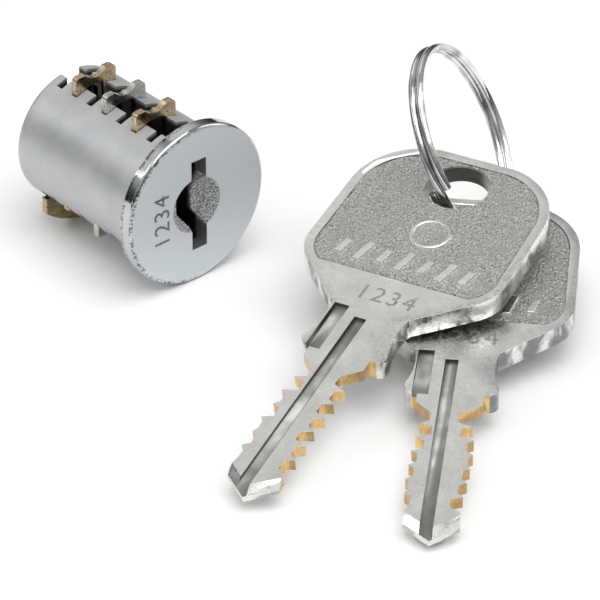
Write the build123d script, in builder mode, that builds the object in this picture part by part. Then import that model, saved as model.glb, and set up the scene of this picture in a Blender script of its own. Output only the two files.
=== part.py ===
"""Removable plate-tumbler core of a cam lock, with its two keys on a split ring.

Millimetres. The plug's axis is Y: the face looks along -Y and the rear end is at +Y.
The origin is on the axis, in the plane of the flange's rear seat. +Z is up, and the
keyway stands upright. The plug lies on the rim of its flange and on the arc of its
retaining plate, and the keys lie beside it on the same surface.
"""

from build123d import *
from math import cos, radians, sin, sqrt
import os

os.makedirs("parts", exist_ok=True)

# ---------------------------------------------------------------- driving sizes: plug
flange_r = 8.25
flange_t = 1.3
barrel_r = 6.7
barrel_len = 17.4
floor_z = -flange_r

plate_t = 0.7  # thickness of the wafers and of the retaining plate
slot_w = 0.8  # width of the slots that they slide in
pitch = 2.2  # from one wafer slot to the next
front_slot_y = 2.6
side_gap = 0.1  # play beside a wafer
rear_notch_y = 15.8
notch_floor_z = 3.4

stem_half = 2.4  # a wafer's narrow upper part
bar_half = 5.5  # a wafer's wide foot
ear_w = 1.15
stem_top = 6.15  # heights at the shear line, where the right key would hold a wafer
low_stem_top = 4.6  # of the wafers that are sprung down
foot_bottom = -3.7
short_foot_bottom = -2.8  # on wafer 2, which stands clear of the retaining plate
foot_top = -1.9
foot_mid = -5.0
window_half = 1.3
window_r = 0.6
ear_r = 0.5
dip_r = 1.6  # hollow between the two ears
foot_taper_w, foot_taper_h = 0.3, 0.5
rise = 1.95  # how far an upward-sprung wafer stands above the shear line
drop = 1.4  # how far a downward-sprung one stands below it

retainer_y = 14.95
retainer_half = 5.4
retainer_lift = 1.6
retainer_top = -4.6  # top of its foot
retainer_stem_top = 3.6
retainer_window_low, retainer_window_high = -5.6, 2.4

spring_x = 4.0
pocket_r = 0.75
spring_r = 0.52
spring_wire = 0.08  # wire radius
push_up_floor = -4.4
push_down_ceiling = 1.6

keyway_half_h = 4.8
keyway_w = 1.8
keyway_upper_x = 0.3
keyway_middle_x = -0.7
recess_r = 2.9
recess_throat_r = 1.8
recess_depth = 1.1
trough_half = 1.2
trough_floor_z = 3.0
trough_start = 0.9

# ---------------------------------------------------------------- driving sizes: keys
# along a key: u, from its tip to its bow; across it: v, from its middle
key_t = 2.0
blade_half = 3.0
rib_half = 1.1  # half width of the blade at full thickness
flank_t = 1.2  # the blade is milled to this thickness beside that rib
blade_end = 19.2  # the stops at the shoulders
tip_u = 2.0  # where the pointed tip reaches its full width
tip_half = 2.5
tip_bevel = 0.7
lobe_u = 20.4  # widest part of the rounded shoulders
lobe_half = 4.2
waist_half = 3.65
root_u = 25.4  # where the neck meets the bow
root_half = 3.9
low_u, low_v, low_r = 32.8, 5.7, 4.4  # circles whose hull is the bow
high_u, high_v, high_r = 41.1, 3.1, 6.8
hole_u = 43.7
hole_r = 2.95
rim_w = 0.9  # smooth rim round the sunk field of the bow
field_start = 29.9
field_depth = 0.15
groove_depth = 0.7
groove_v, groove_w = 0.35, 1.2
side_groove_v, side_groove_w = 2.75, 1.5

ring_r = 9.23  # to the middle of the wire
wire_r = 0.38
ring_pitch = 0.8
ring_turns = 2


# ---------------------------------------------------------------- plug body
def y_plane(y):
    """Upright plane across the plug, at y, with its own +Z along the plug's +Y."""
    return Plane(origin=(0, y, 0), x_dir=(1, 0, 0), z_dir=(0, -1, 0))


def wafer_y(number):
    """Middle of wafer slot 1 to 6, counted from the rear."""
    return front_slot_y + (6 - number) * pitch


up_wafers = (1, 3, 5)
down_wafers = (2, 4, 6)


# every slot across the plug: middle, half width, lowest and highest cut
slots = [(rear_notch_y, stem_half + side_gap, notch_floor_z, flange_r)]
# every upright spring pocket: x, y, lowest and highest cut
pockets = []
for n in range(1, 7):
    foot_room = foot_top + (rise if n in up_wafers else 0) + 0.2
    slots.append((wafer_y(n), stem_half + side_gap, foot_top - drop, flange_r))
    slots.append((wafer_y(n), bar_half + side_gap, -flange_r, foot_room))
    if n in up_wafers:
        pockets.append((spring_x, wafer_y(n), push_up_floor, foot_room))
    else:
        pockets.append((spring_x, wafer_y(n), -flange_r, push_down_ceiling))
retainer_room = retainer_lift + 0.2
retainer_ceiling = push_down_ceiling - 0.8
slots.append((retainer_y, stem_half + side_gap, retainer_top, retainer_stem_top + retainer_room))
slots.append((retainer_y, retainer_half + side_gap, -flange_r, retainer_top + retainer_room))
pockets.append((-spring_x, retainer_y, -flange_r, retainer_ceiling))

with BuildPart() as plug_body:
    with BuildSketch(y_plane(barrel_len)):
        Circle(barrel_r)
    extrude(amount=barrel_len)
    fillet(plug_body.edges().group_by(Axis.Y)[-1], 0.5)
    with BuildSketch(y_plane(0)):
        Circle(flange_r)
    extrude(amount=flange_t)
    fillet(plug_body.edges().group_by(Axis.Y)[0], 0.35)

    # keyway, bent in the middle, right through the plug
    with BuildSketch(y_plane(barrel_len)):
        with BuildLine():
            half = keyway_w / 2
            Polyline(
                (keyway_upper_x - half, keyway_half_h),
                (keyway_upper_x + half, keyway_half_h),
                (keyway_upper_x + half, 0.55 * keyway_half_h),
                (keyway_middle_x + half, 0.2 * keyway_half_h),
                (keyway_middle_x + half, -0.2 * keyway_half_h),
                (keyway_upper_x + half, -0.5 * keyway_half_h),
                (keyway_upper_x + half, -keyway_half_h),
                (keyway_upper_x - half, -keyway_half_h),
                (keyway_upper_x - half, -0.5 * keyway_half_h),
                (keyway_middle_x - half, -0.2 * keyway_half_h),
                (keyway_middle_x - half, 0.2 * keyway_half_h),
                (keyway_upper_x - half, 0.55 * keyway_half_h),
                close=True,
            )
        make_face()
    extrude(amount=barrel_len + flange_t, mode=Mode.SUBTRACT)

    # round funnel that leads the key in
    with BuildSketch(y_plane(-flange_t)):
        Circle(recess_r)
    with BuildSketch(y_plane(-flange_t + recess_depth)):
        Circle(recess_throat_r)
    loft(mode=Mode.SUBTRACT)

    # trough that opens the top, from just behind the flange to the rear end
    with BuildSketch(y_plane(barrel_len)):
        with Locations((0, trough_floor_z + flange_r / 2)):
            Rectangle(2 * trough_half, flange_r)
    extrude(amount=barrel_len - trough_start, mode=Mode.SUBTRACT)

    for y, half, low, high in slots:
        with BuildSketch(y_plane(y + slot_w / 2)):
            with Locations((0, (low + high) / 2)):
                Rectangle(2 * half, high - low)
        extrude(amount=slot_w, mode=Mode.SUBTRACT)
    for x, y, low, high in pockets:
        with BuildSketch(Plane.XY.offset(low)):
            with Locations((x, y)):
                Circle(pocket_r)
        extrude(amount=high - low, mode=Mode.SUBTRACT)
plug_body.part.label = "plug_body"
export_step(plug_body.part, "parts/plug_body.step")


# ---------------------------------------------------------------- wafers
def wafer(name, y, shift, top, window_low, window_high, foot_low=foot_bottom):
    """One plate tumbler. Heights are given at the shear line and moved by shift to rest."""
    inner = stem_half - ear_w
    foot_inner = bar_half - ear_w
    with BuildPart() as plate:
        with BuildSketch(y_plane(y + plate_t / 2)):
            with BuildLine():
                stem_left = Line((-stem_half, foot_top + shift), (-stem_half, top + shift - ear_r))
                left_ear = RadiusArc(stem_left @ 1, (-stem_half + ear_r, top + shift), ear_r)
                left_top = Line(left_ear @ 1, (-inner, top + shift))
                dip = RadiusArc(left_top @ 1, (inner, top + shift), -dip_r)
                right_top = Line(dip @ 1, (stem_half - ear_r, top + shift))
                right_ear = RadiusArc(right_top @ 1, (stem_half, top + shift - ear_r), ear_r)
                Polyline(
                    right_ear @ 1,
                    (stem_half, foot_top + shift),
                    (bar_half, foot_top + shift),
                    (bar_half, foot_low + shift),
                    (foot_inner, foot_low + shift),
                    (foot_inner - foot_taper_w, foot_low + shift + foot_taper_h),
                )
                belly = ThreePointArc(
                    (foot_inner - foot_taper_w, foot_low + shift + foot_taper_h),
                    (0, foot_mid + shift),
                    (-foot_inner + foot_taper_w, foot_low + shift + foot_taper_h),
                )
                Polyline(
                    belly @ 1,
                    (-foot_inner, foot_low + shift),
                    (-bar_half, foot_low + shift),
                    (-bar_half, foot_top + shift),
                    stem_left @ 0,
                )
            make_face()
            with Locations((0, (window_low + window_high) / 2 + shift)):
                RectangleRounded(
                    2 * window_half, window_high - window_low, window_r, mode=Mode.SUBTRACT
                )
        extrude(amount=plate_t)
    plate.part.label = name
    export_step(plate.part, f"parts/{name}.step")


for n in up_wafers:
    wafer(f"wafer_{n}", wafer_y(n), rise, stem_top, -2.6, 4.9)
for n in down_wafers:
    low = short_foot_bottom if n == 2 else foot_bottom
    wafer(f"wafer_{n}", wafer_y(n), -drop, low_stem_top, -4.1, 2.9, low)

# ---------------------------------------------------------------- retaining plate
with BuildPart() as retaining_plate:
    with BuildSketch(y_plane(retainer_y + plate_t / 2)):
        corner_z = -sqrt(flange_r**2 - retainer_half**2)
        with BuildLine():
            upper = Polyline(
                (-retainer_half, corner_z),
                (-retainer_half, retainer_top),
                (-stem_half, retainer_top),
                (-stem_half, retainer_stem_top),
                (stem_half, retainer_stem_top),
                (stem_half, retainer_top),
                (retainer_half, retainer_top),
                (retainer_half, corner_z),
            )
            ThreePointArc(upper @ 1, (0, -flange_r), upper @ 0)
        make_face()
        window_h = retainer_window_high - retainer_window_low
        with Locations((0, (retainer_window_low + retainer_window_high) / 2)):
            RectangleRounded(2 * window_half, window_h, window_r, mode=Mode.SUBTRACT)
    extrude(amount=plate_t)
retaining_plate.part.label = "retaining_plate"
export_step(retaining_plate.part, "parts/retaining_plate.step")


# ---------------------------------------------------------------- springs
def coil_spring(name, x, y, low, high, turns):
    """Compression spring standing from low to high, its wire ends flat within that height."""
    height = high - low - 2 * spring_wire
    with BuildPart() as coil:
        with BuildLine():
            path = Helix(height / turns, height, spring_r, center=(x, y, low + spring_wire))
        with BuildSketch(Plane(origin=path @ 0, z_dir=path % 0)):
            Circle(spring_wire)
        sweep(is_frenet=True)
    coil.part.label = name
    export_step(coil.part, f"parts/{name}.step")


for n in up_wafers:
    coil_spring(f"spring_{n}", spring_x, wafer_y(n), push_up_floor, foot_bottom + rise - 0.15, 3)
for n in down_wafers:
    coil_spring(f"spring_{n}", spring_x, wafer_y(n), foot_top - drop, push_down_ceiling, 7)
coil_spring("retainer_spring", -spring_x, retainer_y, retainer_top, retainer_ceiling, 7)


# ---------------------------------------------------------------- keys
def key_plane(tip, heading, tilt, height=0.0):
    """Plane of a key: x runs from its tip to its bow, z is the way that its top looks."""
    h, t = radians(heading), radians(tilt)
    along = Vector(cos(h) * cos(t), sin(h) * cos(t), sin(t))
    normal = Vector(-cos(h) * sin(t), -sin(h) * sin(t), cos(t))
    origin = Vector(*tip) + normal * height
    return Plane(origin=origin, x_dir=along, z_dir=normal)


def blade_edge(depths, side):
    """Cuts along one side of a blade, from the shoulder towards the tip."""
    first, last = blade_end - 2.4, tip_u + 1.4
    step = (first - last) / len(depths)
    flat = 0.28 * step
    points = [(blade_end, side * blade_half)]
    for i, depth in enumerate(depths):
        u = first - step * (i + 0.5)
        ramp = 2.0 if i == 0 else step / 2
        crest = 0 if i == 0 else 0.35 * depth
        points.append((u + ramp - 0.05, side * (blade_half - crest)))
        points.append((u + flat, side * (blade_half - depth)))
        points.append((u - flat, side * (blade_half - depth)))
    points.append((last - 0.2, side * (tip_half - 0.1)))
    points.append((tip_u + 0.5, side * tip_half))
    points.append((tip_u, side * tip_half))
    return points


def make_key(name, tip, heading, tilt, left_cuts, right_cuts):
    flat = key_plane(tip, heading, tilt)
    top = key_plane(tip, heading, tilt, key_t)
    with BuildPart() as key:
        # blade with its pointed tip, bevelled above and below
        with BuildSketch(flat):
            with BuildLine():
                left = blade_edge(left_cuts, 1)
                right = blade_edge(right_cuts, -1)
                Polyline(*left, (0, 0), *reversed(right), close=True)
            make_face()
        extrude(amount=key_t)
        tip_edges = key.edges().filter_by(
            lambda e: flat.to_local_coords(e.center()).X < tip_u
            and abs(flat.to_local_coords(e.center()).Z - key_t / 2) > 0.4 * key_t
        )
        chamfer(tip_edges, tip_bevel)
        # neck with its rounded shoulders
        with BuildSketch(flat):
            with BuildLine():
                Line((root_u, 0), (root_u, root_half))
                middle_u = (root_u + lobe_u) / 2
                side = ThreePointArc((root_u, root_half), (middle_u, waist_half), (lobe_u, lobe_half))
                stop_half = lobe_half - 0.8
                nose = ThreePointArc(side @ 1, (blade_end + 0.2, lobe_half - 0.25), (blade_end, stop_half))
                Line(nose @ 1, (blade_end, 0))
                mirror(about=Plane.XZ)
            make_face()
        extrude(amount=key_t)
        # bow
        with BuildSketch(flat):
            with Locations((low_u, low_v), (low_u, -low_v)):
                Circle(low_r)
            with Locations((high_u, high_v), (high_u, -high_v)):
                Circle(high_r)
            with Locations((root_u, 0)):
                Rectangle(0.2, 2 * root_half)
            make_hull()
        extrude(amount=key_t)
        with BuildSketch(flat):
            with Locations((hole_u, 0)):
                Circle(hole_r)
        extrude(amount=key_t, mode=Mode.SUBTRACT)
        # sunk field on both sides of the bow
        for face, inward in ((top, -field_depth), (flat, field_depth)):
            with BuildSketch(face):
                with Locations((low_u, low_v), (low_u, -low_v)):
                    Circle(low_r - rim_w)
                with Locations((high_u, high_v), (high_u, -high_v)):
                    Circle(high_r - rim_w)
                make_hull()
                with Locations((field_start - low_r, 0)):
                    Rectangle(2 * low_r, 4 * low_v, mode=Mode.SUBTRACT)
            extrude(amount=inward, mode=Mode.SUBTRACT)
        # long milled groove on the upper side and a short wide one beside it, on the neck
        groove_end = root_u - 1.4
        with BuildSketch(top):
            with Locations((groove_end / 2, groove_v)):
                Rectangle(groove_end, groove_w)
            with Locations(((blade_end + root_u) / 2 - 0.3, side_groove_v)):
                Rectangle(root_u - blade_end, side_groove_w)
        extrude(amount=-groove_depth, mode=Mode.SUBTRACT)
        # flanks milled thinner from below
        with BuildSketch(flat):
            with Locations((blade_end / 2, rib_half + blade_half / 2), (blade_end / 2, -rib_half - blade_half / 2)):
                Rectangle(blade_end, blade_half)
        extrude(amount=key_t - flank_t, mode=Mode.SUBTRACT)
    key.part.label = name
    export_step(key.part, f"parts/{name}.step")


make_key(
    "key_1", (-21.58, -32.83, floor_z + 0.56), 21.02, 10.21,
    (1.6, 1.7, 0.9, 1.2, 0.6, 0.9, 0.7), (1.6, 1.2, 1.5, 1.3, 1.6, 1.1, 1.3),
)
make_key(
    "key_2", (-13.53, -47.99, floor_z + 0.1), 41.35, 5.66,
    (1.5, 1.8, 1.3, 0.9, 0.8, 0.5, 0.9), (2.0, 1.6, 0.9, 0.6, 0.9, 1.1, 1.6),
)

# ---------------------------------------------------------------- split ring
ring_centre = (24.05, -11.84, 2.09)
ring_normal = (0.499, -0.7317, 0.4643)
with BuildPart() as split_ring:
    start = Vector(*ring_centre) - Vector(*ring_normal) * (ring_pitch * ring_turns / 2)
    with BuildLine():
        turn = Helix(ring_pitch, ring_pitch * ring_turns, ring_r, center=start, direction=ring_normal)
    with BuildSketch(Plane(origin=turn @ 0, z_dir=turn % 0)):
        Circle(wire_r)
    sweep(is_frenet=True)
split_ring.part.label = "split_ring"
export_step(split_ring.part, "parts/split_ring.step")
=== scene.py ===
import math

import bmesh
import bpy
from mathutils import Matrix, Vector, noise


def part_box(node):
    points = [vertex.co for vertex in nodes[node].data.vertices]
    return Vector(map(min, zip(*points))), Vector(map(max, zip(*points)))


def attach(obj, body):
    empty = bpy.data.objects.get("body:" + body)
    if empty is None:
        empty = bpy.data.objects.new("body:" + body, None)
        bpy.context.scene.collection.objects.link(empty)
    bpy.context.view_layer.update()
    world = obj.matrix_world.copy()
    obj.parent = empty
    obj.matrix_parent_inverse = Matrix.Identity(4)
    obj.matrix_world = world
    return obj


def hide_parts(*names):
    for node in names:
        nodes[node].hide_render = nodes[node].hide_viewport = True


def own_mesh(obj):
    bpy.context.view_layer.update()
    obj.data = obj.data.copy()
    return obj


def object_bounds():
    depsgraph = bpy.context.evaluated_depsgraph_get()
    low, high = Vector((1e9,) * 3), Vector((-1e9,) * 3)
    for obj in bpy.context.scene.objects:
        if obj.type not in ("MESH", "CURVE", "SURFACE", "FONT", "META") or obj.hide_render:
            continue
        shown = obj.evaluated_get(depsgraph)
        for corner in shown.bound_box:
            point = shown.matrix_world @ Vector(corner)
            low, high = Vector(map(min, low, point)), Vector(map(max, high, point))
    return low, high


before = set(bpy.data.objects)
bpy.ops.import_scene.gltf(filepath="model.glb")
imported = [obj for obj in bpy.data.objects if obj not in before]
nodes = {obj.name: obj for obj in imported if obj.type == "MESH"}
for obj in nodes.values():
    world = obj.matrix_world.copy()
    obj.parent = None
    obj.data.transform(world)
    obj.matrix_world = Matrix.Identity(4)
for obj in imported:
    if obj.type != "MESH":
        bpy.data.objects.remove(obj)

cad_low, cad_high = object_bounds()
mm = 0.001


# ---------------------------------------------------------------- node materials
class Metal:
    """A Principled material whose textures are measured in millimetres of the frame."""

    def __init__(self, name, color, metallic=1.0, roughness=0.3):
        self.material = bpy.data.materials.new(name)
        self.material.use_nodes = True
        self.tree = self.material.node_tree
        self.tree.nodes.clear()
        out = self.tree.nodes.new("ShaderNodeOutputMaterial")
        self.shader = self.tree.nodes.new("ShaderNodeBsdfPrincipled")
        self.tree.links.new(self.shader.outputs[0], out.inputs[0])
        self.shader.inputs["Base Color"].default_value = (*color, 1)
        self.shader.inputs["Metallic"].default_value = metallic
        self.shader.inputs["Roughness"].default_value = roughness
        coords = self.tree.nodes.new("ShaderNodeTexCoord")
        self.position = self.scaled(coords.outputs["Object"], (1000, 1000, 1000))
        self.height = None

    def socket(self, node, name, value):
        target = node.inputs[name]
        if isinstance(value, bpy.types.NodeSocket):
            self.tree.links.new(value, target)
        else:
            target.default_value = value

    def scaled(self, vector, factors):
        node = self.tree.nodes.new("ShaderNodeVectorMath")
        node.operation = "MULTIPLY"
        self.socket(node, 0, vector)
        self.socket(node, 1, factors)
        return node.outputs[0]

    def math(self, operation, a, b=0.0, clamp=False):
        node = self.tree.nodes.new("ShaderNodeMath")
        node.operation = operation
        node.use_clamp = clamp
        self.socket(node, 0, a)
        self.socket(node, 1, b)
        return node.outputs[0]

    def noise(self, scale, detail=3.0, rough=0.55, stretch=None, distort=0.0):
        node = self.tree.nodes.new("ShaderNodeTexNoise")
        vector = self.scaled(self.position, stretch) if stretch else self.position
        self.socket(node, "Vector", vector)
        node.inputs["Scale"].default_value = scale
        node.inputs["Detail"].default_value = detail
        node.inputs["Roughness"].default_value = rough
        node.inputs["Distortion"].default_value = distort
        return node.outputs["Fac"]

    def cells(self, scale):
        node = self.tree.nodes.new("ShaderNodeTexVoronoi")
        self.socket(node, "Vector", self.position)
        node.inputs["Scale"].default_value = scale
        return node.outputs["Distance"]

    def remap(self, value, low, high, to_low=0.0, to_high=1.0):
        node = self.tree.nodes.new("ShaderNodeMapRange")
        node.clamp = True
        self.socket(node, "Value", value)
        for name, number in (("From Min", low), ("From Max", high), ("To Min", to_low), ("To Max", to_high)):
            node.inputs[name].default_value = number
        return node.outputs["Result"]

    def mix(self, factor, a, b):
        node = self.tree.nodes.new("ShaderNodeMix")
        node.data_type = "RGBA"
        self.socket(node, 0, factor)
        self.socket(node, 6, a if isinstance(a, bpy.types.NodeSocket) else (*a, 1))
        self.socket(node, 7, b if isinstance(b, bpy.types.NodeSocket) else (*b, 1))
        return node.outputs[2]

    def xyz(self):
        node = self.tree.nodes.new("ShaderNodeSeparateXYZ")
        self.socket(node, 0, self.position)
        return node.outputs

    def from_axis(self, x, z):
        """Distance from the plug's own axis."""
        return self.math("SQRT", self.math("ADD", self.math("MULTIPLY", x, x), self.math("MULTIPLY", z, z)))

    def color(self, value):
        self.socket(self.shader, "Base Color", value)

    def roughness(self, value):
        self.socket(self.shader, "Roughness", value)

    def bump(self, height, depth_mm, strength=1.0):
        """height 0 to 1 over depth_mm, added on top of earlier bumps."""
        node = self.tree.nodes.new("ShaderNodeBump")
        node.inputs["Strength"].default_value = strength
        node.inputs["Distance"].default_value = depth_mm * mm
        self.socket(node, "Height", height)
        if self.height is not None:
            self.tree.links.new(self.height, node.inputs["Normal"])
        self.height = node.outputs["Normal"]
        self.tree.links.new(self.height, self.shader.inputs["Normal"])


def plug_material():
    """Satin nickel on a zinc casting: pitted face, bright flange edge, painted dark reflection bands at the
    flange's corners, painted glints and shade in the funnel, painted shade in the slots and keyway.
    """
    m = Metal("plug_nickel", (0.80, 0.815, 0.82), roughness=0.3)
    x, y, z = m.xyz()
    radius = m.from_axis(x, z)
    face = m.remap(y, -1.30, -1.24, 1, 0)
    edge = m.math("MULTIPLY", m.remap(radius, 7.75, 7.95), m.remap(y, -1.28, -1.2, 0.5, 1))
    funnel = m.math("MULTIPLY", m.remap(radius, 3.0, 2.85), m.remap(y, -1.27, -1.2))
    funnel = m.math("MULTIPLY", funnel, m.remap(y, 0.2, 0.0))
    cloud = m.noise(0.35, 4, 0.6)
    fine = m.noise(9.0, 2, 0.6)
    grain = m.noise(22.0, 2, 0.7)
    base = m.mix(m.remap(cloud, 0.35, 0.65), (0.50, 0.515, 0.525), (0.58, 0.585, 0.58))
    pits = m.remap(m.cells(3.2), 0.05, 0.16)
    base = m.mix(m.math("MULTIPLY", face, 0.9), base, (0.74, 0.78, 0.79))
    dark = m.remap(fine, 0.26, 0.32, 0.75, 1.0)
    base = m.mix(m.math("SUBTRACT", 1, dark), base, (0.35, 0.36, 0.37))
    # painted glints and shade: bright and dark speckles coloured onto the funnel round the keyway
    speckle = m.remap(m.noise(6.5, 2, 0.7), 0.44, 0.54)
    painted_glints_and_shade = m.mix(speckle, (0.22, 0.22, 0.225), (0.90, 0.90, 0.90))
    base = m.mix(m.math("MULTIPLY", funnel, 0.9), base, painted_glints_and_shade)
    # painted dark reflections: speckled dark bands along the flange's front and back corners, stronger
    # towards negative x
    front_corner = m.math("MULTIPLY", m.remap(radius, 7.75, 7.9), m.remap(radius, 8.22, 8.12))
    back_corner = m.math("MULTIPLY", m.remap(radius, 7.9, 8.0), m.remap(y, -0.42, -0.3))
    corners = m.math("MAXIMUM", front_corner, m.math("MULTIPLY", back_corner, m.remap(y, 0.1, 0.0)))
    corners = m.math("MULTIPLY", corners, m.remap(x, 1.0, -2.5, 0.1, 1))
    painted_dark_bands = m.math("MULTIPLY", corners, m.remap(m.noise(3.4, 3, 0.7), 0.47, 0.55))
    base = m.mix(m.math("MULTIPLY", painted_dark_bands, 0.85), base, (0.08, 0.08, 0.085))
    # painted shade in the slots, the trough and the keyway
    painted_inner_shade = m.math("MULTIPLY", m.remap(radius, 6.55, 6.25), m.remap(y, 0.1, 0.5))
    painted_inner_shade = m.math("MULTIPLY", painted_inner_shade, m.remap(y, 17.35, 17.25))
    base = m.mix(m.math("MULTIPLY", painted_inner_shade, 0.93), base, (0.045, 0.045, 0.047))
    m.color(base)
    satin = m.remap(cloud, 0.3, 0.7, 0.42, 0.48)
    fins = m.math("MULTIPLY", m.remap(z, 5.4, 6.1), m.remap(y, 0.3, 0.9))
    rough = m.math("ADD", satin, m.math("MULTIPLY", face, 0.22))
    rough = m.math("ADD", rough, m.math("MULTIPLY", fins, 0.22))
    rough = m.math("ADD", rough, m.math("MULTIPLY", m.remap(fine, 0.4, 0.7), 0.08))
    rough = m.math("SUBTRACT", rough, m.math("MULTIPLY", edge, 0.45), clamp=True)
    m.roughness(m.math("MAXIMUM", rough, 0.05))
    m.bump(m.noise(0.45, 2, 0.4), 0.03, 0.35)
    m.bump(m.math("MULTIPLY", pits, face), 0.03, 0.4)
    m.bump(fine, 0.006, 0.4)
    m.bump(m.math("MULTIPLY", grain, funnel), 0.25, 1.0)
    return m.material


def wafer_material(name, light, dark, stain_and_shade):
    """Stamped plate: flat sides with roller streaks and stains, and painted shade down inside the barrel."""
    m = Metal(name, light, roughness=0.3)
    cloud = m.noise(0.8, 5, 0.65, distort=0.6)
    spots = m.noise(3.5, 3, 0.6)
    base = m.mix(m.remap(cloud, 0.38, 0.66), light, dark)
    base = m.mix(m.remap(spots, 0.54, 0.68), base, stain_and_shade)
    x, _, z = m.xyz()
    # painted shade: the plate darkens towards a quarter of the stain colour where it runs down inside the
    # barrel
    base = m.mix(m.remap(m.from_axis(x, z), 6.6, 5.8, 0, 0.8), base, tuple(c * 0.25 for c in stain_and_shade))
    m.color(base)
    m.roughness(m.remap(cloud, 0.3, 0.7, 0.16, 0.42))
    m.bump(m.noise(6.0, 2, 0.6, stretch=(1, 1, 0.15)), 0.02, 0.5)
    m.bump(spots, 0.02, 0.5)
    return m.material


def key_material():
    """Nickel plate after tumbling: faint stains, dents and a fine scratch grain."""
    m = Metal("key_nickel", (0.72, 0.72, 0.69), roughness=0.28)
    cloud = m.noise(0.28, 4, 0.6)
    spots = m.noise(2.2, 4, 0.65)
    fine = m.noise(11.0, 2, 0.6)
    base = m.mix(m.remap(cloud, 0.35, 0.68), (0.83, 0.83, 0.805), (0.69, 0.69, 0.665))
    base = m.mix(m.remap(spots, 0.60, 0.74, 0, 0.5), base, (0.42, 0.42, 0.40))
    m.color(base)
    m.roughness(m.remap(spots, 0.3, 0.7, 0.18, 0.40))
    m.bump(m.noise(0.9, 3, 0.5), 0.05, 0.5)
    m.bump(fine, 0.010, 0.5)
    return m.material


def grain_material():
    """The grainy field of the bow: bright tops, and pits painted dark as shade."""
    m = Metal("key_grain", (0.66, 0.66, 0.64), roughness=0.36)
    grit = m.noise(8.5, 3, 0.8)
    cloud = m.noise(0.4, 3, 0.5)
    # painted shade: the low points of the grit are coloured dark
    base = m.mix(m.remap(grit, 0.40, 0.57), (0.13, 0.13, 0.125), (0.80, 0.80, 0.775))
    base = m.mix(m.remap(cloud, 0.4, 0.7, 0, 0.35), base, (0.50, 0.50, 0.47))
    m.color(base)
    m.roughness(m.remap(grit, 0.3, 0.7, 0.45, 0.22))
    m.bump(grit, 0.10, 0.9)
    m.bump(m.noise(12.0, 2, 0.7), 0.04, 0.7)
    return m.material


def side_material():
    """The bow's sheared and tumbled edge: bright and wavy, with dark patches painted into its colour as
    reflections.
    """
    m = Metal("key_edge", (0.78, 0.78, 0.76), roughness=0.14)
    patch = m.noise(0.5, 3, 0.5, stretch=(1, 1, 0.6), distort=0.4)
    spots = m.noise(3.6, 3, 0.6)
    # painted reflections: wavy dark patches on the bright edge
    base = m.mix(m.remap(patch, 0.44, 0.58), (0.82, 0.82, 0.80), (0.22, 0.22, 0.215))
    base = m.mix(m.remap(spots, 0.52, 0.66, 0, 0.4), base, (0.40, 0.40, 0.39))
    m.color(base)
    m.roughness(m.remap(spots, 0.3, 0.7, 0.08, 0.26))
    m.bump(patch, 0.25, 0.7)
    m.bump(spots, 0.05, 0.6)
    return m.material


def cut_material():
    """Bare brass where the key's edge was milled."""
    m = Metal("key_brass", (0.78, 0.55, 0.27), roughness=0.34)
    cloud = m.noise(1.2, 3, 0.6)
    streak = m.noise(7.0, 2, 0.6, stretch=(1, 1, 0.12))
    base = m.mix(m.remap(cloud, 0.35, 0.65), (0.82, 0.60, 0.31), (0.66, 0.44, 0.20))
    base = m.mix(m.remap(streak, 0.5, 0.7, 0, 0.5), base, (0.45, 0.29, 0.13))
    m.color(base)
    m.roughness(m.remap(streak, 0.3, 0.7, 0.26, 0.46))
    m.bump(streak, 0.03, 0.6)
    return m.material


def groove_material():
    """Milled groove or drilled hole: dull, with tool marks, and painted dark as shade, darker still in
    blotches.
    """
    m = Metal("key_groove", (0.38, 0.38, 0.36), roughness=0.4)
    streak = m.noise(0.5, 2, 0.4)
    # painted shade: the groove colour is kept dark, with darker blotches
    m.color(m.mix(m.remap(streak, 0.30, 0.70), (0.34, 0.34, 0.325), (0.22, 0.22, 0.21)))
    m.roughness(m.remap(streak, 0.3, 0.7, 0.3, 0.5))
    m.bump(m.noise(9.0, 2, 0.6), 0.01, 0.5)
    return m.material


def wire_material(name, color, low=0.07, high=0.2, dark_reflection=0.78, patch=0.9):
    """Drawn wire, with stretches painted darker, to a given fraction of its colour, as dark reflections."""
    m = Metal(name, color, roughness=low)
    cloud = m.noise(patch, 1, 0.5)
    # painted reflections: dark stretches along the wire
    m.color(m.mix(m.remap(cloud, 0.40, 0.64), color, tuple(c * dark_reflection for c in color)))
    m.roughness(m.remap(cloud, 0.3, 0.7, low, high))
    m.bump(m.noise(1.6, 2, 0.5), 0.03, 0.4)
    m.bump(m.noise(14.0, 2, 0.5), 0.004, 0.4)
    return m.material


def floor_material():
    m = Metal("floor_paper", (0.93, 0.93, 0.93), metallic=0.0, roughness=0.9)
    m.color(m.mix(m.noise(0.02, 2, 0.5), (0.93, 0.93, 0.93), (0.95, 0.95, 0.95)))
    m.bump(m.noise(1.5, 2, 0.5), 0.01, 0.2)
    return m.material


plug_nickel = plug_material()
brass = wafer_material("wafer_brass", (0.70, 0.55, 0.38), (0.42, 0.32, 0.22), (0.15, 0.12, 0.10))
steel = wafer_material("wafer_steel", (0.62, 0.61, 0.57), (0.42, 0.41, 0.38), (0.24, 0.22, 0.20))
retainer = wafer_material("retainer_brass", (0.62, 0.50, 0.27), (0.33, 0.29, 0.17), (0.16, 0.15, 0.10))
spring = wire_material("spring_steel", (0.66, 0.66, 0.66), 0.15, 0.3)
ring_metal = wire_material("ring_steel", (0.82, 0.82, 0.81), dark_reflection=0.40, patch=0.32)
key_nickel = key_material()
key_grain = grain_material()
key_edge = side_material()
key_brass = cut_material()
key_groove = groove_material()


# ---------------------------------------------------------------- helpers for pieces
def repaint(name, material):
    """Gives a CAD node a material."""
    obj = nodes[name]
    obj.data.materials.clear()
    obj.data.materials.append(material)
    return obj


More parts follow.
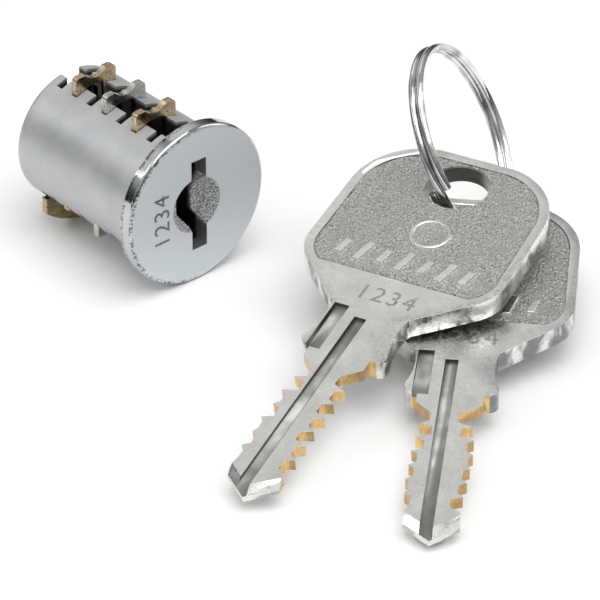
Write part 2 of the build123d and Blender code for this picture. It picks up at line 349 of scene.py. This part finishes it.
def soften(obj, width, angle=28):
    bevel = obj.modifiers.new("edge", "BEVEL")
    bevel.width = width * mm
    bevel.segments = 3
    bevel.limit_method = "ANGLE"
    bevel.angle_limit = math.radians(angle)
    bevel.harden_normals = False


def link(name, mesh, materials, body):
    obj = bpy.data.objects.new(name, mesh)
    bpy.context.scene.collection.objects.link(obj)
    for material in materials:
        mesh.materials.append(material)
    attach(obj, body)
    return obj


# ---------------------------------------------------------------- the keys' own frame, in millimetres
# u runs from a key's tip to its bow, v across it and w up through it, as in the CAD model
floor_z = cad_low[2]
KEY_PLACES = {  # tip's x and y, tip's height over the floor, heading and tilt in degrees
    "key_1": (-21.58, -32.83, 0.56, 21.02, 10.21),
    "key_2": (-13.53, -47.99, 0.10, 41.35, 5.66),
}
key_t = 2.0
blade_end, tip_u = 19.2, 2.0
root_u = 25.4
low_u, low_v, low_r = 32.8, 5.7, 4.4
high_u, high_v, high_r = 41.1, 3.1, 6.8
hole_u, hole_r = 43.7, 2.95
rim_w, field_start, field_depth = 0.9, 29.9, 0.15
rib_half = 1.1
groove_depth, groove_v, groove_w = 0.7, 0.35, 1.2
side_groove_v, side_groove_w = 2.75, 1.5


# materials of a key's surface, in the order of its material slots; the edge material holds painted
# reflections and the groove material painted shade
NICKEL, GRAIN, EDGE, BRASS, GROOVE = range(5)
bow_edge, blade_edge = 0.26, 0.04  # widths of the rounded edges
rib_count, rib_gap, rib_u, rib_w = 7, 2.1, 32.4, 0.85
long_rib, short_rib, rib_draft, rib_lean, rib_h = 2.7, 1.9, 0.2, 0.25, 0.27
plain_ring_u, plain_ring_v, plain_ring_r = 36.8, -0.5, 1.8
plain_ring_w, plain_ring_h, plain_ring_lift = 0.26, 0.16, 0.08
key_number_u, key_number_v, key_number_size, key_number_t = 27.3, -0.6, 2.7, 0.012
face_number_x, face_number_z, face_number_size, face_number_t = -4.15, -0.2, 2.6, 0.006
lettering_gap = 0.004  # how far a number stands off its surface


def key_matrix(name):
    x, y, height, heading, tilt = KEY_PLACES[name]
    h, t = math.radians(heading), math.radians(tilt)
    along = Vector((math.cos(h) * math.cos(t), math.sin(h) * math.cos(t), math.sin(t)))
    up = Vector((-math.cos(h) * math.sin(t), -math.sin(h) * math.sin(t), math.cos(t)))
    across = up.cross(along)
    matrix = Matrix((along, across, up)).transposed().to_4x4() @ Matrix.Scale(mm, 4)
    matrix.translation = Vector((x * mm, y * mm, floor_z + height * mm))
    return matrix


def in_field(u, v, margin=0.0):
    """True inside the bow's sunk field, and clear of the hole."""
    if u < field_start + margin or math.hypot(u - hole_u, v) < hole_r + margin:
        return False
    v = abs(v)
    low, high = low_r - rim_w - margin, high_r - rim_w - margin
    if math.hypot(u - low_u, v - low_v) < low or math.hypot(u - high_u, v - high_v) < high:
        return True
    # between the two circles: below the line that touches both of them
    run, climb = high_u - low_u, high_v - low_v
    reach = math.hypot(run, climb)
    tilt = math.atan2(climb, run) + math.asin((high - low) / reach)
    normal_u, normal_v = -math.sin(tilt), math.cos(tilt)
    beyond = (u - low_u) * normal_u + (v - low_v) * normal_v - low
    along = (u - low_u) * math.cos(tilt) + (v - low_v) * math.sin(tilt)
    if along < 0:
        return v < low_v
    if u > high_u:
        return v < high_v and u < high_u + high
    return beyond < 0


def key_body(name):
    """The CAD key with rounded edges, and with each surface's own material: painted shade in the grooves and
    on the hole's wall, painted reflections on the bow's side walls.
    """
    matrix = key_matrix(name)
    mesh = nodes[name].data.copy()
    mesh.name = name + "_metal"
    mesh.materials.clear()
    mesh.transform(matrix.inverted())
    bm = bmesh.new()
    bm.from_mesh(mesh)
    bmesh.ops.remove_doubles(bm, verts=bm.verts, dist=1e-3)
    bmesh.ops.dissolve_limit(bm, angle_limit=math.radians(0.7), verts=bm.verts, edges=bm.edges)
    bm.normal_update()

    def side(face):
        return abs(face.normal.z) < 0.5

    def outline(edge, painted_inner_shade):
        """An edge between a flat face at the key's top or bottom and a side wall."""
        if len(edge.link_faces) != 2 or side(edge.link_faces[0]) == side(edge.link_faces[1]):
            return False
        u, v, w = (edge.verts[0].co + edge.verts[1].co) / 2
        if min(abs(w), abs(w - key_t)) > 0.02:
            return False
        flat = edge.link_faces[1] if side(edge.link_faces[0]) else edge.link_faces[0]
        return abs(flat.normal.z) > 0.95 and painted_inner_shade(u, v)

    def on_bow(u, v):
        near_field = u > root_u and in_field(u, v, -0.05)
        grooved = u < root_u and -0.5 < v < side_groove_v + side_groove_w / 2 + 0.1
        return u > blade_end - 0.3 and not near_field and not grooved

    def on_blade(u, v):
        return tip_u + 0.6 < u < blade_end - 0.5 and abs(v) > rib_half + 0.1

    edges = [e for e in bm.edges if outline(e, on_bow)]
    bmesh.ops.bevel(bm, geom=edges, offset=bow_edge, segments=3, profile=0.5, affect="EDGES",
                     clamp_overlap=True)
    edges = [e for e in bm.edges if outline(e, on_blade)]
    bmesh.ops.bevel(bm, geom=edges, offset=blade_edge, segments=1, affect="EDGES", clamp_overlap=True)
    bm.normal_update()
    for face in bm.faces:
        u, v, w = face.calc_center_median()
        low = w > key_t - groove_depth - 0.05 and w < key_t - 0.02
        in_groove = low and abs(v - groove_v) < groove_w / 2 + 0.05 and u < root_u - 1.2
        beside = abs(v - side_groove_v) < side_groove_w / 2 + 0.05
        in_side_groove = low and beside and blade_end < u < root_u
        in_hole = side(face) and math.hypot(u - hole_u, v) < hole_r + 0.1
        # painted shade: the grooves and the hole's wall take the dark groove material
        if in_groove or in_side_groove or in_hole:
            face.material_index = GROOVE
        elif side(face) and tip_u + 0.4 < u < blade_end + 0.02 and abs(v) > rib_half + 0.1:
            face.material_index = BRASS
        # painted reflections: the bow's side walls take the edge material
        elif abs(face.normal.z) < 0.85 and u > blade_end:
            face.material_index = EDGE
        elif u > field_start and field_depth - 0.02 < w < key_t - field_depth + 0.02:
            face.material_index = GRAIN
        else:
            face.material_index = NICKEL
        face.smooth = True
    bm.to_mesh(mesh)
    bm.free()
    mesh.transform(matrix)
    surface_materials = (key_nickel, key_grain, key_edge, key_brass, key_groove)
    obj = link(name + "_metal", mesh, surface_materials, name)
    obj.data.set_sharp_from_angle(angle=math.radians(32))
    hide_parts(name)


def key_grit(name, upward):
    """The field's rough skin: a fine grid with raised and sunk grains."""
    matrix = key_matrix(name)
    step = 0.10
    count_u = int((high_u + high_r - field_start) / step)
    count_v = int(2 * (low_v + low_r) / step)
    level = key_t - field_depth + 0.02 if upward else field_depth - 0.02
    way = 1 if upward else -1
    seed = Vector((7.0, 3.0, 11.0 if name == "key_1" else 29.0))
    bm = bmesh.new()
    grid = {}
    for i in range(count_u):
        for j in range(count_v):
            u = field_start + 0.04 + i * step
            v = j * step - low_v - low_r
            if in_field(u, v, 0.05):
                coarse = noise.noise(Vector((u, v, 0)) * 4.3 + seed)
                fine = noise.noise(Vector((u, v, 5)) * 9.5 + seed)
                lift = 0.05 + 0.05 * max(-1.0, min(1.0, coarse * 1.2 + fine * 1.3))
                grid[i, j] = bm.verts.new((u, v, level + way * lift))
    for (i, j), corner in grid.items():
        ring = [corner, grid.get((i + 1, j)), grid.get((i + 1, j + 1)), grid.get((i, j + 1))]
        if all(ring):
            bm.faces.new(ring if upward else ring[::-1]).smooth = True
    loose = [v for v in bm.verts if not v.link_faces]
    bmesh.ops.delete(bm, geom=loose, context="VERTS")
    side = "top" if upward else "back"
    mesh = bpy.data.meshes.new(f"{name}_grit_{side}")
    bm.to_mesh(mesh)
    bm.free()
    mesh.transform(matrix)
    link(mesh.name, mesh, (key_grain,), name)


def key_relief(name):
    """Plain raised ribs and a plain ring on the field, in place of any sign or name."""
    matrix = key_matrix(name)
    bm = bmesh.new()
    foot = key_t - field_depth - 0.02
    for k in range(rib_count):
        v = (k - (rib_count - 1) / 2) * rib_gap
        long = long_rib if k % 2 else short_rib
        for vert in bmesh.ops.create_cube(bm, size=1)["verts"]:
            top = vert.co.z > 0
            slim = rib_draft if top else 0
            vert.co.x = rib_u + vert.co.x * (long - slim)
            vert.co.y = v + vert.co.y * (rib_w - slim) - rib_lean * (vert.co.x - rib_u)
            vert.co.z = foot + (rib_h if top else 0)
    around, across = 48, 8
    loop = []
    for i in range(around):
        turn = 2 * math.pi * i / around
        for j in range(across):
            part = 2 * math.pi * j / across
            reach = plain_ring_r + plain_ring_w * math.cos(part)
            u, v = plain_ring_u + reach * math.cos(turn), plain_ring_v + reach * math.sin(turn)
            loop.append(bm.verts.new((u, v, foot + plain_ring_lift + plain_ring_h * math.sin(part))))
    for i in range(around):
        for j in range(across):
            k, l = (i + 1) % around, (j + 1) % across
            corners = (i, j), (k, j), (k, l), (i, l)
            bm.faces.new([loop[a * across + b] for a, b in corners])
    bmesh.ops.recalc_face_normals(bm, faces=bm.faces)
    mesh = bpy.data.meshes.new(name + "_relief")
    bm.to_mesh(mesh)
    bm.free()
    mesh.transform(matrix)
    obj = link(mesh.name, mesh, (key_nickel,), name)
    soften(obj, 0.05)


def stamp(name, words, size, thick, matrix, material, body):
    """Generic numbers, struck or burnt into a surface. The matrix takes millimetres to the frame."""
    curve = bpy.data.curves.new(name, "FONT")
    curve.body = words
    curve.size = size
    curve.align_x, curve.align_y = "CENTER", "CENTER"
    curve.space_character = 1.15
    curve.extrude = thick
    source = bpy.data.objects.new(name + "_outline", curve)
    bpy.context.scene.collection.objects.link(source)
    bpy.context.view_layer.update()
    mesh = bpy.data.meshes.new_from_object(source.evaluated_get(bpy.context.evaluated_depsgraph_get()))
    bpy.data.objects.remove(source)
    mesh.name = name
    mesh.materials.clear()
    mesh.transform(matrix)
    link(name, mesh, (material,), body)


def stamped_material(name, light, dark):
    """The dull floor of a struck or burnt number."""
    m = Metal(name, light, roughness=0.5)
    m.color(m.mix(m.remap(m.noise(5.0, 3, 0.6), 0.4, 0.6), light, dark))
    m.bump(m.noise(9.0, 2, 0.6), 0.02, 0.6)
    return m.material


key_mark = stamped_material("key_mark", (0.50, 0.50, 0.48), (0.30, 0.30, 0.29))
face_mark = stamped_material("face_mark", (0.26, 0.27, 0.28), (0.14, 0.145, 0.15))


def working_spring(name):
    """A copy of a CAD spring, on the plug's body, in place of the CAD node."""
    mesh = nodes[name].data.copy()
    mesh.name = name + "_wire"
    mesh.materials.clear()
    obj = link(mesh.name, mesh, (spring,), "plug")
    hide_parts(name)
    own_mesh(obj)


repaint("plug_body", plug_nickel)
for n in range(1, 7):
    soften(repaint(f"wafer_{n}", steel if n in (3, 4, 6) else brass), 0.16)
    working_spring(f"spring_{n}")
working_spring("retainer_spring")
soften(repaint("retaining_plate", retainer), 0.08)
repaint("split_ring", ring_metal)
for key in KEY_PLACES:
    key_body(key)
    key_grit(key, True)
    key_grit(key, False)
    key_relief(key)
    # numbers across the neck, read from the blade's side
    place = key_matrix(key) @ Matrix.Translation((key_number_u, key_number_v, key_t + lettering_gap))
    place = place @ Matrix.Rotation(math.radians(-90), 4, "Z")
    stamp(key + "_number", "1234", key_number_size, key_number_t, place, key_mark, key)

# numbers burnt into the face, beside the keyway, read from below upwards
face_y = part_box("plug_body")[0][1]
place = Matrix.Translation((face_number_x * mm, face_y - lettering_gap * mm, face_number_z * mm))
place = place @ Matrix.Scale(mm, 4)
place = place @ Matrix.Rotation(math.radians(90), 4, "X") @ Matrix.Rotation(math.radians(90), 4, "Z")
stamp("face_number", "1234", face_number_size, face_number_t, place, face_mark, "plug")

# ---------------------------------------------------------------- floor, light and camera
floor_mesh = bpy.data.meshes.new("floor")
floor_half = 3  # metres
corners = ((-1, -1), (1, -1), (1, 1), (-1, 1))
floor_mesh.from_pydata([(x * floor_half, y * floor_half, floor_z) for x, y in corners], [], [(0, 1, 2, 3)])
floor = bpy.data.objects.new("floor", floor_mesh)
bpy.context.scene.collection.objects.link(floor)
floor_mesh.materials.append(floor_material())

aim = Vector((0.00402, -0.01134, -0.00747))  # between the plug and the keys, just above the floor
view_azimuth, view_elevation, view_distance = math.radians(-41.5), math.radians(33), 0.43
toward = Vector((math.sin(view_azimuth) * math.cos(view_elevation),
                 -math.cos(view_azimuth) * math.cos(view_elevation), math.sin(view_elevation)))
camera_data = bpy.data.cameras.new("camera")
camera_data.lens = 275.5
camera_data.clip_start = 0.01
camera = bpy.data.objects.new("camera", camera_data)
bpy.context.scene.collection.objects.link(camera)
camera.location = aim + toward * view_distance
camera.rotation_euler = toward.to_track_quat("Z", "Y").to_euler()
bpy.context.scene.camera = camera


def panel(name, azimuth, elevation, distance, width, height, power):
    """A soft box that looks at the aim point."""
    a, e = math.radians(azimuth), math.radians(elevation)
    out = Vector((math.sin(a) * math.cos(e), -math.cos(a) * math.cos(e), math.sin(e)))
    data = bpy.data.lights.new(name, "AREA")
    data.shape = "RECTANGLE"
    data.size, data.size_y = width, height
    data.energy = power
    lamp = bpy.data.objects.new(name, data)
    bpy.context.scene.collection.objects.link(lamp)
    lamp.location = aim + out * distance
    lamp.rotation_euler = out.to_track_quat("Z", "Y").to_euler()


panel("light_top", -10, 72, 0.8, 0.8, 0.8, 4.6)
panel("light_left", -120, 40, 0.8, 0.5, 0.35, 0.9)
panel("light_right", 70, 30, 0.8, 0.3, 0.5, 0.8)

# the studio: a white tent overhead, and a low dark band broken by lighter stretches
world = bpy.data.worlds.new("studio")
bpy.context.scene.world = world
world.use_nodes = True
tree = world.node_tree
tree.nodes.clear()
out = tree.nodes.new("ShaderNodeOutputWorld")
background = tree.nodes.new("ShaderNodeBackground")
coords = tree.nodes.new("ShaderNodeTexCoord")
split = tree.nodes.new("ShaderNodeSeparateXYZ")
height = tree.nodes.new("ShaderNodeValToRGB")
height.color_ramp.elements[0].position = 0.12
height.color_ramp.elements[0].color = (0.13, 0.13, 0.135, 1)
height.color_ramp.elements[1].position = 0.62
height.color_ramp.elements[1].color = (1, 1, 1, 1)
patches = tree.nodes.new("ShaderNodeTexNoise")
patches.inputs["Scale"].default_value = 1.9
patches.inputs["Detail"].default_value = 1.0
contrast = tree.nodes.new("ShaderNodeValToRGB")
contrast.color_ramp.elements[0].position = 0.44
contrast.color_ramp.elements[0].color = (0.30, 0.30, 0.31, 1)
contrast.color_ramp.elements[1].position = 0.56
contrast.color_ramp.elements[1].color = (1, 1, 1, 1)
blend = tree.nodes.new("ShaderNodeMix")
blend.data_type = "RGBA"
blend.blend_type = "MULTIPLY"
blend.inputs[0].default_value = 0.8
tree.links.new(coords.outputs["Generated"], split.inputs[0])
tree.links.new(coords.outputs["Generated"], patches.inputs["Vector"])
tree.links.new(split.outputs["Z"], height.inputs[0])
tree.links.new(patches.outputs["Fac"], contrast.inputs[0])
tree.links.new(height.outputs["Color"], blend.inputs[6])
tree.links.new(contrast.outputs["Color"], blend.inputs[7])
tree.links.new(blend.outputs[2], background.inputs["Color"])
background.inputs["Strength"].default_value = 0.85
tree.links.new(background.outputs[0], out.inputs[0])
bpy.context.scene.view_settings.view_transform = "Standard"
